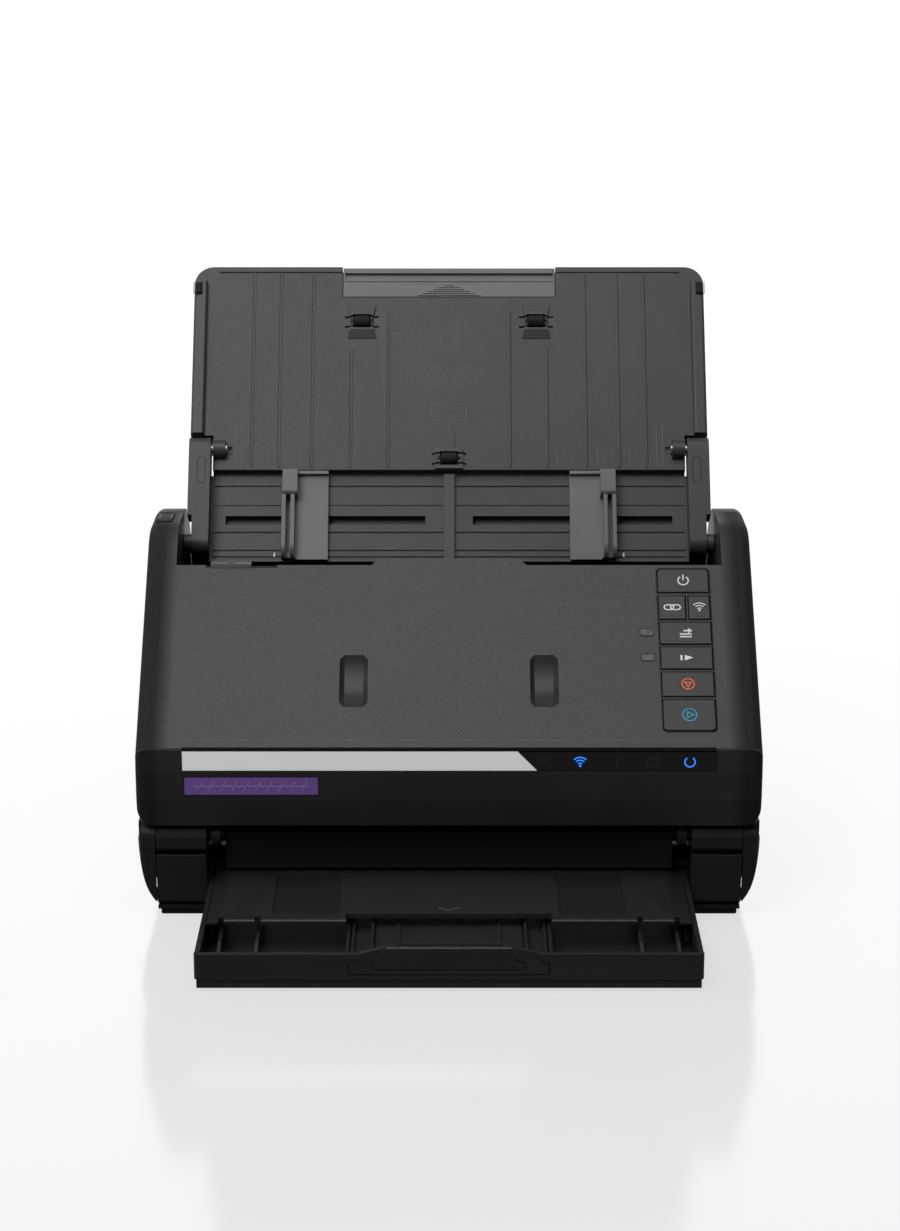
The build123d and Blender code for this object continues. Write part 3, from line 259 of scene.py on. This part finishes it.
LOOKS = {
    # the cover's shoulders beyond 134 mm from the middle carry painted shade
    "cover_plastic": moulded("cover_plastic", (0.024, 0.024, 0.024), 0.40, 1100, 0.10, shaded_flank=0.134),
    "case_plastic": moulded("case_plastic", (0.013, 0.013, 0.014), 0.46, 900, 0.15, specular=0.4),
    "inner_plastic": moulded("inner_plastic", (0.007, 0.007, 0.0075), 0.5, 700, 0.15, specular=0.3),
    "tray_plastic": moulded("tray_plastic", (0.048, 0.048, 0.049), 0.44, 900, 0.20),
    "output_plastic": moulded("output_plastic", (0.020, 0.020, 0.021), 0.38, 900, 0.15),
    "light_plastic": moulded("light_plastic", (0.15, 0.15, 0.152), 0.36, 900, 0.12),
    "button_plastic": moulded("button_plastic", (0.018, 0.018, 0.0185), 0.40, 1100, 0.1),
    "sensor_plastic": moulded("sensor_plastic", (0.015, 0.015, 0.015), 0.5, 700, 0.15),
    "port_plastic": moulded("port_plastic", (0.010, 0.010, 0.010), 0.4, 700, 0.1),
    "gear_plastic": moulded("gear_plastic", (0.60, 0.58, 0.52), 0.4, 500, 0.1, wear=0.1),
    "circuit_board": glossy("circuit_board", (0.01, 0.10, 0.04), 0.3, 0.3),
    "rubber": moulded("rubber", (0.014, 0.014, 0.014), 0.72, 1400, 0.35, specular=0.3),
    "steel": metal("steel", (0.55, 0.55, 0.57), 0.28, (0.02, 1, 1)),
    # dark_steel is steel darkened as painted shade, standing in for the shadow on the hinge pins
    "dark_steel": metal("dark_steel", (0.03, 0.03, 0.032), 0.4, (0.02, 1, 1)),
    "silver_trim": metal("silver_trim", (0.78, 0.78, 0.79), 0.38, (0.03, 1, 1), 0.1, glow=0.35),
    "black_window": glossy("black_window", (0.002, 0.002, 0.0025)),
    "purple_badge": glossy("purple_badge", (0.24, 0.12, 0.48), 0.25, 0.3),
    "lens_plastic": glossy("lens_plastic", (0.012, 0.012, 0.0125), 0.25, 0.3),
    "scan_glass": clear_glass("scan_glass", (0.75, 0.82, 0.8)),
}
# WHITE_INK's glow of 0.12 is painted light: it makes the white print brighter, though the print is no lamp
WHITE_INK = ink("white_ink", (0.75, 0.75, 0.75), 0.12)
SCRIBED_INK = ink("scribed_ink", (0.12, 0.12, 0.122))
DIM_INK = ink("dim_ink", (0.035, 0.035, 0.038))
ORANGE_INK = ink("orange_ink", (0.85, 0.16, 0.03), 0.15)
BLUE_LIGHT = ink("blue_light", (0.03, 0.22, 0.95), 1.0)
# DARK_INK_AND_SHADE serves both dark print and painted shade, such as the groove along the crease and the rib
# shadows
DARK_INK_AND_SHADE = ink("dark_ink_and_shade", (0.004, 0.004, 0.0045))

for entry in frame["record"]["subparts"]:
    shape = NODES[entry["node"]]
    shape.data.materials.clear()
    shape.data.materials.append(LOOKS[entry["material_slot"]])


SHARP_ANGLE = 35                # degrees between faces, above which an edge is rounded


def soften(name, width):
    """Rounds a CAD node's sharp edges as a mould does."""
    shape = NODES[name]
    weld = shape.modifiers.new("weld", "WELD")
    weld.merge_threshold = 0.00001
    bevel = shape.modifiers.new("soft edges", "BEVEL")
    bevel.width = width * MM
    bevel.segments = 2
    bevel.limit_method = "ANGLE"
    bevel.angle_limit = math.radians(SHARP_ANGLE)
    even = shape.modifiers.new("even shading", "WEIGHTED_NORMAL")
    even.keep_sharp = True
    even.weight = 90


# ---- pieces

MITRE_LIMIT = 0.5               # a line widens at a sharp corner to at most 1 / this
PATH_SINK = 0.15                # how far printed marks reach into their surface
CAP_SINK = 0.25                 # the same on a key's cap
STAND = 0.16                    # how far printed marks stand out


def add(name, mesh, body, look):
    """New object from a mesh, riding on a body, with its material."""
    piece = bpy.data.objects.new(name, mesh)
    bpy.context.collection.objects.link(piece)
    mesh.materials.append(look)
    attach(piece, body)
    return piece


def ribbons(name, paths, place, width, low, high, body, look):
    """Raised lines on a surface. Each path is (points, closed); each line is a closed solid."""
    built = bmesh.new()
    for points, closed in paths:
        count = len(points)
        rows = []
        for i, (x, y) in enumerate(points):
            before = points[i - 1] if i or closed else None
            after = points[(i + 1) % count] if i < count - 1 or closed else None
            ways = []
            for a, b in ((before, (x, y)), ((x, y), after)):
                if a is not None and b is not None:
                    way = Vector((b[0] - a[0], b[1] - a[1]))
                    ways.append(way.normalized())
            side = Vector((0.0, 0.0))
            for way in ways:
                side += Vector((-way.y, way.x))
            side.normalize()
            reach = width / 2 / max(MITRE_LIMIT, side.dot(Vector((-ways[0].y, ways[0].x))))
            corners = []
            for sign, height in ((1, low), (1, high), (-1, high), (-1, low)):
                spot = place.at(x + side.x * reach * sign, y + side.y * reach * sign, height)
                corners.append(built.verts.new(spot))
            rows.append(corners)
        pairs = list(zip(rows, rows[1:]))
        if closed:
            pairs.append((rows[-1], rows[0]))
        for a, b in pairs:
            for n in range(4):
                built.faces.new((a[n], a[(n + 1) % 4], b[(n + 1) % 4], b[n]))
        if not closed:
            built.faces.new(rows[0][::-1])
            built.faces.new(rows[-1])
    bmesh.ops.recalc_face_normals(built, faces=built.faces)
    mesh = bpy.data.meshes.new(name)
    built.to_mesh(mesh)
    built.free()
    return add(name, mesh, body, look)


def solids(name, outlines, place, low, high, body, look):
    """Filled raised shapes on a surface, each drawn out from low to high."""
    built = bmesh.new()
    for points in outlines:
        lower = [built.verts.new(place.at(x, y, low)) for x, y in points]
        upper = [built.verts.new(place.at(x, y, high)) for x, y in points]
        built.faces.new(lower[::-1])
        built.faces.new(upper)
        for i in range(len(points)):
            j = (i + 1) % len(points)
            built.faces.new((lower[i], lower[j], upper[j], upper[i]))
    bmesh.ops.recalc_face_normals(built, faces=built.faces)
    mesh = bpy.data.meshes.new(name)
    built.to_mesh(mesh)
    built.free()
    return add(name, mesh, body, look)


def arc(x, y, radius, start, stop, steps=20):
    """Points of an arc, in degrees; both ends are included."""
    turns = [math.radians(start + (stop - start) * n / steps) for n in range(steps + 1)]
    return [(x + radius * math.cos(t), y + radius * math.sin(t)) for t in turns]


def circle(x, y, radius, steps=32):
    """Points of a closed circle, with none twice."""
    return arc(x, y, radius, 0, 360 - 360 / steps, steps - 1)


def rounded(x0, x1, y0, y1, radius):
    """Points of a closed rectangle with round corners."""
    corners = ((x1 - radius, y1 - radius, 0), (x0 + radius, y1 - radius, 90), (x0 + radius, y0 + radius, 180),
               (x1 - radius, y0 + radius, 270))
    return [spot for x, y, turn in corners for spot in arc(x, y, radius, turn, turn + 90, 6)]


def around(low, high, gap, radius):
    """Rounded rectangle that stands a gap outside a box's outline."""
    return rounded(low.x - gap, high.x + gap, low.y - gap, high.y + gap, radius)


def middle(low, high):
    """Middle of a box's outline."""
    return (low.x + high.x) / 2, (low.y + high.y) / 2


def mark(name, paths, place, width, surface, body, look, stand=STAND):
    """Line drawing printed on a surface, or painted on it as a highlight or shade, at that height in its place."""
    return ribbons(name, paths, place, width, surface - PATH_SINK, surface + stand, body, look)


# ---- rounded edges of the CAD nodes, in millimetres

SOFT_EDGES = {
    "left_side_panel": 0.4, "right_side_panel": 0.4, "front_corner_trims": 0.7, "hinge_blocks": 0.5,
    "output_deck": 0.35, "output_drawer": 0.5, "output_extension_1": 0.6, "output_extension_2": 0.6,
    "stopper_flap": 0.3, "lower_input_tray": 0.35, "upper_input_tray": 0.3, "tray_extension": 0.35,
    "left_edge_guide": 0.35, "right_edge_guide": 0.35, "feeder_selector": 0.3, "cover_lever": 0.3,
    "rubber_feet": 0.4, "base_frame": 0.3,
}
for soft_node, soft_width in SOFT_EDGES.items():
    soften(soft_node, soft_width)


# ---- signs on the keys

def key_icon(name, key, paths, width, look):
    """Line icon printed in the middle of a key's cap; paths are relative to that middle."""
    low, high = FACE.box(f"{key}_button")
    x, y = middle(low, high)
    moved = [([(x + u, y + v) for u, v in points], closed) for points, closed in paths]
    return ribbons(name, moved, FACE, width, high.z - CAP_SINK, high.z + STAND, f"{key}_key",
                   look)


def waves(x, y, reach, count):
    """Concentric arcs of a radio sign, opening upwards."""
    half = 42                   # degrees either side of straight up
    return [(arc(x, y, reach * (n + 1) / count, 90 - half, 90 + half, 14), False) for n in range(count)]


def chain_link(u, v, length, radius):
    """Outline of one link of a chain, lying along x."""
    half = length / 2 - radius
    return arc(u + half, v, radius, -90, 90, 10) + arc(u - half, v, radius, 90, 270, 10)


key_icon("power_icon", "power", [(arc(0, 0, 2.5, 125, 415, 26), False), ([(0, 0.2), (0, 3.3)], False)],
         0.62, WHITE_INK)
key_icon("link_icon", "link", [(chain_link(-1.6, 0, 4.6, 1.35), True), (chain_link(1.6, 0, 4.6, 1.35), True)],
         0.6, WHITE_INK)
key_icon("wireless_icon", "wireless", [*waves(0, -1.9, 4.3, 3), (circle(0, -1.7, 0.3, 12), True)],
         0.5, WHITE_INK)
key_icon("double_feed_icon", "double_feed",
         [([(-2.9, -2.2), (2.9, -2.2)], False), ([(-2.9, -0.7), (2.9, -0.7)], False),
          ([(-1.0, 1.2), (2.2, 1.2)], False), ([(1.2, 2.2), (2.7, 1.2), (1.2, 0.2)], False)], 0.75, WHITE_INK)
key_icon("stop_icon", "stop", [(circle(0, 0, 2.9, 32), True), ([(-1.5, 0.9), (1.5, 0.9), (0, -1.6)], True)],
         0.55, ORANGE_INK)
key_icon("start_icon", "start",
         [(circle(0, 0, 3.3, 36), True), ([(-1.0, 1.6), (1.9, 0), (-1.0, -1.6)], True)],
         0.6, ink("cyan_ink", (0.02, 0.33, 0.55), 0.1))
slow_low, slow_high = FACE.box("slow_mode_button")
slow_x, slow_y = middle(slow_low, slow_high)
solids("slow_mode_icon",
       [[(slow_x + u, slow_y + v) for u, v in ((-3.1, -1.5), (-2.1, -1.5), (-2.1, 1.5), (-3.1, 1.5))],
        [(slow_x + u, slow_y + v) for u, v in ((-1.0, -1.6), (3.1, 0.0), (-1.0, 1.6))]],
       FACE, slow_high.z - CAP_SINK, slow_high.z + STAND, "slow_mode_key", WHITE_INK)


# ---- details on the front cover

COVER = "front_cover"
BAND = front_of("display_window")
window_low, window_high = BAND.box("display_window")

# Painted shade standing in for a groove, and a painted highlight along the crease, above the strip
CREASE_HEIGHT = 86.5
crease_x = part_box("display_window")[1][0] / MM
mark("crease_groove_shade", [([(-crease_x, CREASE_HEIGHT), (crease_x, CREASE_HEIGHT)], False)], BAND, 1.7, 0.1,
     COVER, DARK_INK_AND_SHADE, 0.05)
mark("crease_edge", [([(-crease_x, 0.5), (crease_x, 0.5)], False)], FACE, 0.5, 0, COVER,
     ink("crease_highlight_ink", (0.10, 0.10, 0.10)), 0.08)

sign_y = (window_low.y + window_high.y) / 2 - 0.3


def status_sign(name, x, paths, width, look):
    """Sign on the black window, drawn round the point at x in the middle of the strip."""
    placed = [([(x + u, sign_y + v) for u, v in points], closed) for points, closed in paths]
    return mark(name, placed, BAND, width, 0, COVER, look, 0.05)


status_sign("wireless_direct_sign", 44.6, [*waves(0, -2.0, 3.9, 3), (circle(2.4, -1.6, 0.5, 10), True)],
            0.4, DIM_INK)
status_sign("wireless_sign", 61.6, [*waves(0, -2.0, 4.3, 3), (circle(0, -1.9, 0.3, 10), True)],
            0.6, BLUE_LIGHT)
status_sign("warning_sign", 78.9, [([(0, 2.6), (0, -0.8)], False), (circle(0, -2.1, 0.25, 10), True)],
            0.5, DIM_INK)
status_sign("battery_sign", 95.8,
            [([(-2.4, -2.2), (2.4, -2.2), (2.4, 1.6), (1.0, 1.6), (1.0, 2.4), (-1.0, 2.4), (-1.0, 1.6),
               (-2.4, 1.6)], True)], 0.4, DIM_INK)
status_sign("ready_ring", 113.2, [(arc(0, 0, 2.4, 125, 415, 28), False)], 0.62, BLUE_LIGHT)

# A plain rule crossed by slanting strokes, in place of lettering on the badge
BADGE = front_of("badge")
STROKES = 10
STROKE_PITCH = 5.5
badge_low, badge_high = BADGE.box("badge")
badge_mid = (badge_low.y + badge_high.y) / 2
badge_rule = [([(badge_low.x + 4, badge_mid), (badge_high.x - 4, badge_mid)], False)]
badge_strokes = [([(badge_low.x + 6 + STROKE_PITCH * n, badge_mid - 2.2),
                   (badge_low.x + 8.4 + STROKE_PITCH * n, badge_mid + 2.2)], False) for n in range(STROKES)]
mark("badge_pattern", badge_rule + badge_strokes, BADGE, 0.45, 0, COVER,
     ink("lilac_ink", (0.42, 0.34, 0.62)), 0.06)

# Dark gap round the column of keys, and rings round the two lamps
keys_low, keys_high = FACE.box(*[name for name in NODES if name.endswith("_button")])
mark("key_column_rim", [(around(keys_low, keys_high, 0.35, 2.4), True)], FACE, 0.5, 0, COVER, DARK_INK_AND_SHADE,
     0.05)
LENS_HEIGHT = 3.4
LENS_GAP = 0.3
lens_low, lens_high = FACE.box("indicator_lenses")
mark("lamp_rims",
     [(rounded(lens_low.x - LENS_GAP, lens_high.x + LENS_GAP, y0 - LENS_GAP,
               y0 + LENS_HEIGHT + LENS_GAP, 1.0), True) for y0 in (lens_low.y, lens_high.y - LENS_HEIGHT)],
     FACE, 0.6, 0, COVER, DARK_INK_AND_SHADE, 0.22)


# ---- details on the trays

TRAY_FACE = -1.5                # height of the upper tray's face in TRAY
LATCH_FACE = 1.8
ARM_FACE = 5.8
CHUTE_FACE = -5.1
UPPER, LOWER = "upper_tray", "lower_tray"
SIDES = (-1, 1)


def scribe(name, paths, width=0.35, surface=TRAY_FACE, body=UPPER, look=SCRIBED_INK, stand=0.1):
    """Line drawing moulded into or printed on a tray."""
    return mark(name, paths, TRAY, width, surface, body, look, stand)


def upright_lines(low, ends):
    """Mirrored pairs of lines up the tray, from low to top, for each (x, top)."""
    return [([(side * x, low), (side * x, top)], False) for side in SIDES for x, top in ends]


scribe("stack_sign", [([(-4.4, 106.0), (4.6, 106.0), (4.6, 118.6), (1.4, 118.6), (1.4, 114.6),
                        (-4.4, 110.8)], True),
                      ([(-4.4, 112.6), (1.4, 116.8)], False), ([(-4.4, 109.2), (3.0, 109.2)], False)])
scribe("fastener_signs", [(circle(-8.2, 90.1, 5.6, 36), True), (circle(8.2, 90.1, 5.6, 36), True),
                          ([(4.6, 94.0), (11.8, 86.2)], False), ([(4.4, 91.4), (11.2, 91.4)], False),
                          ([(-11.0, 88.4), (-5.4, 88.4), (-5.4, 92.0), (-11.0, 92.0)], True)])
scribe("face_down_sign", [([(-9.0, 75.0), (9.0, 75.0), (9.0, 68.6), (-9.0, 68.6)], True),
                          ([(-9.0, 66.4), (9.0, 66.4)], False), ([(0, 65.2), (0, 60.6)], False),
                          ([(-1.8, 62.4), (0, 60.4), (1.8, 62.4)], False)])
scribe("width_ticks",
       upright_lines(41.8, ((108.5, 64.0), (105.4, 64.0), (91.6, 50.5), (75.4, 50.5), (54.8, 50.5))))
scribe("sheet_signs",
       [([(side * x + u, y) for u, y in ((-2.0, 44.2), (2.0, 44.2), (2.0, 49.4), (-2.0, 49.4))], True)
        for side in SIDES for x in (97.0, 80.8, 60.4)], 0.25)
scribe("rib_shadows",
       upright_lines(41.2, ((31.65, 126.6), (50.75, 105.6), (70.45, 147.6), (87.15, 147.6), (100.95, 147.6))),
       0.5, look=DARK_INK_AND_SHADE, stand=0.04)
scribe("latch_marks",
       [([(side * 130.0 + u, 134.0 + v)
          for u, v in ((-1.6, 8.0), (-1.6, 1.6), (0, 0), (1.6, 1.6), (1.6, 8.0))], False)
        for side in SIDES], 0.4, surface=LATCH_FACE, look=DARK_INK_AND_SHADE, stand=0.06)
scribe("arm_recess_rims",
       [(arc(side * 125.0, 42.0, 2.0, 0, 180, 10) + arc(side * 125.0, 32.0, 2.0, 180, 360, 10), True)
        for side in SIDES], 0.5, surface=ARM_FACE, body=LOWER, look=DARK_INK_AND_SHADE, stand=0.06)
scribe("chute_size_marks",
       upright_lines(-5.8, ((88.0, -3.6), (74.0, -3.6)))
       + [([(side * 66.0, -5.4), (side * 70.5, -5.4)], False) for side in SIDES],
       0.7, surface=CHUTE_FACE, body=LOWER, look=WHITE_INK)

# ---- details on the back and the output tray

BACK = Place((0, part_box("rear_cover")[1][1], 0), (0, 0, 1), (0, 1, 0))
for port_name, port in (("inlet_rim", "dc_inlet"), ("socket_rim", "usb_port")):
    port_low, port_high = BACK.box(port)
    mark(port_name, [(around(port_low, port_high, 0.9, 1.5), True)], BACK, 0.8, 0, "base", SCRIBED_INK,
         0.3)
deck_low, deck_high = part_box("output_deck")
DECK = Place((0, 0, deck_high[2]), (0, 1, 0), (0, 0, 1))
deck_front = deck_low[1] / MM
mark("deck_pull_arrow", [([(-5, deck_front + 16), (0, deck_front + 12.4), (5, deck_front + 16)], False)],
     DECK, 0.7, 0, "deck", SCRIBED_INK, 0.08)

LIP = front_of("output_extension_2")
lip_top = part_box("output_extension_2")[1][2] / MM
# Painted highlight along the top edge of the second extension's lip
mark("lip_painted_highlight", [([(-28.0, lip_top - 0.35), (28.0, lip_top - 0.35)], False)], LIP, 0.5, 0, "slide_2",
     ink("lip_highlight_ink", (0.22, 0.22, 0.22)), 0.05)


# ---- scene: floor, light, camera

FLOOR_HALF = 14.0               # metres, far enough that its edge is out of the camera's view
CAMERA_PITCH = 15.5             # degrees below level
CAMERA_SPOT = (0, -1.4022, 0.523)
CAMERA_LENS = 87.73             # mm, on a sensor 36 mm wide
CAMERA_SHIFT = 0.0008
LIGHTS = (                      # name, place, aimed at, size in metres, watts
    ("top", (-0.1, -0.30, 1.5), (0, -0.05, 0.1), (1.1, 0.9), 7.2),
    ("high_front", (-0.9, -1.5, 1.9), (0, 0, 0.2), (1.1, 0.8), 18),
    ("left", (-1.8, 0.2, 0.9), (0, 0, 0.1), (0.8, 0.8), 5),
)


def make_stage():
    """Pale floor, hidden from glossy and diffuse rays so that it does not light the object."""
    mesh = bpy.data.meshes.new("floor")
    half = FLOOR_HALF
    mesh.from_pydata([(-half, -half, 0), (half, -half, 0), (half, half, 0), (-half, half, 0)], [],
                     [(0, 1, 2, 3)])
    floor = bpy.data.objects.new("floor", mesh)
    bpy.context.collection.objects.link(floor)
    floor.visible_glossy = False
    floor.visible_diffuse = False

    def build(tree, shader):
        """Glowing white, with room for soft shadows and a faint mirror image."""
        shader.inputs["Base Color"].default_value = (0.16, 0.16, 0.16, 1)
        shader.inputs["Specular IOR Level"].default_value = 1.0
        shader.inputs["Emission Color"].default_value = (1, 1, 1, 1)
        shader.inputs["Emission Strength"].default_value = 0.66
        grain = object_noise(tree, 3.0, 2.0)
        tree.links.new(spread(tree, grain, 0.10, 0.14).outputs["Result"], shader.inputs["Roughness"])
    mesh.materials.append(material("floor", build))


def make_world():
    """White to the camera and behind the object, dim in front, as in a studio with a white backdrop."""
    world = bpy.data.worlds.new("studio")
    bpy.context.scene.world = world
    world.use_nodes = True
    tree = world.node_tree
    back = tree.nodes["Background"]
    coords = node(tree, "ShaderNodeTexCoord")
    split = node(tree, "ShaderNodeSeparateXYZ")
    tree.links.new(coords.outputs["Generated"], split.inputs["Vector"])
    backdrop = node(tree, "ShaderNodeMapRange", From_Min=0.3, From_Max=0.9, To_Min=0.12, To_Max=1.0)
    tree.links.new(split.outputs["Y"], backdrop.inputs["Value"])
    path = node(tree, "ShaderNodeLightPath")
    pick = node(tree, "ShaderNodeMath", operation="MAXIMUM")
    tree.links.new(path.outputs["Is Camera Ray"], pick.inputs[0])
    tree.links.new(backdrop.outputs["Result"], pick.inputs[1])
    tree.links.new(pick.outputs[0], back.inputs["Strength"])
    back.inputs["Color"].default_value = (1, 1, 1, 1)


def light(name, spot, target, size, power):
    """Soft rectangular studio lamp."""
    lamp = bpy.data.lights.new(name, "AREA")
    lamp.shape = "RECTANGLE"
    lamp.size, lamp.size_y = size
    lamp.energy = power
    made = bpy.data.objects.new(name, lamp)
    bpy.context.collection.objects.link(made)
    made.location = spot
    made.rotation_euler = (Vector(target) - Vector(spot)).to_track_quat("-Z", "Y").to_euler()


def make_camera():
    """Camera at the photograph's angle: straight in front of the object and looking a little down."""
    data = bpy.data.cameras.new("camera")
    data.sensor_width = 36.0
    data.lens = CAMERA_LENS
    data.shift_x = CAMERA_SHIFT
    camera = bpy.data.objects.new("camera", data)
    bpy.context.collection.objects.link(camera)
    camera.location = CAMERA_SPOT
    camera.rotation_euler = (math.pi / 2 - math.radians(CAMERA_PITCH), 0, 0)
    bpy.context.scene.camera = camera


make_stage()
make_world()
make_camera()
for lamp_values in LIGHTS:
    light(*lamp_values)
bpy.context.scene.view_settings.view_transform = "Standard"
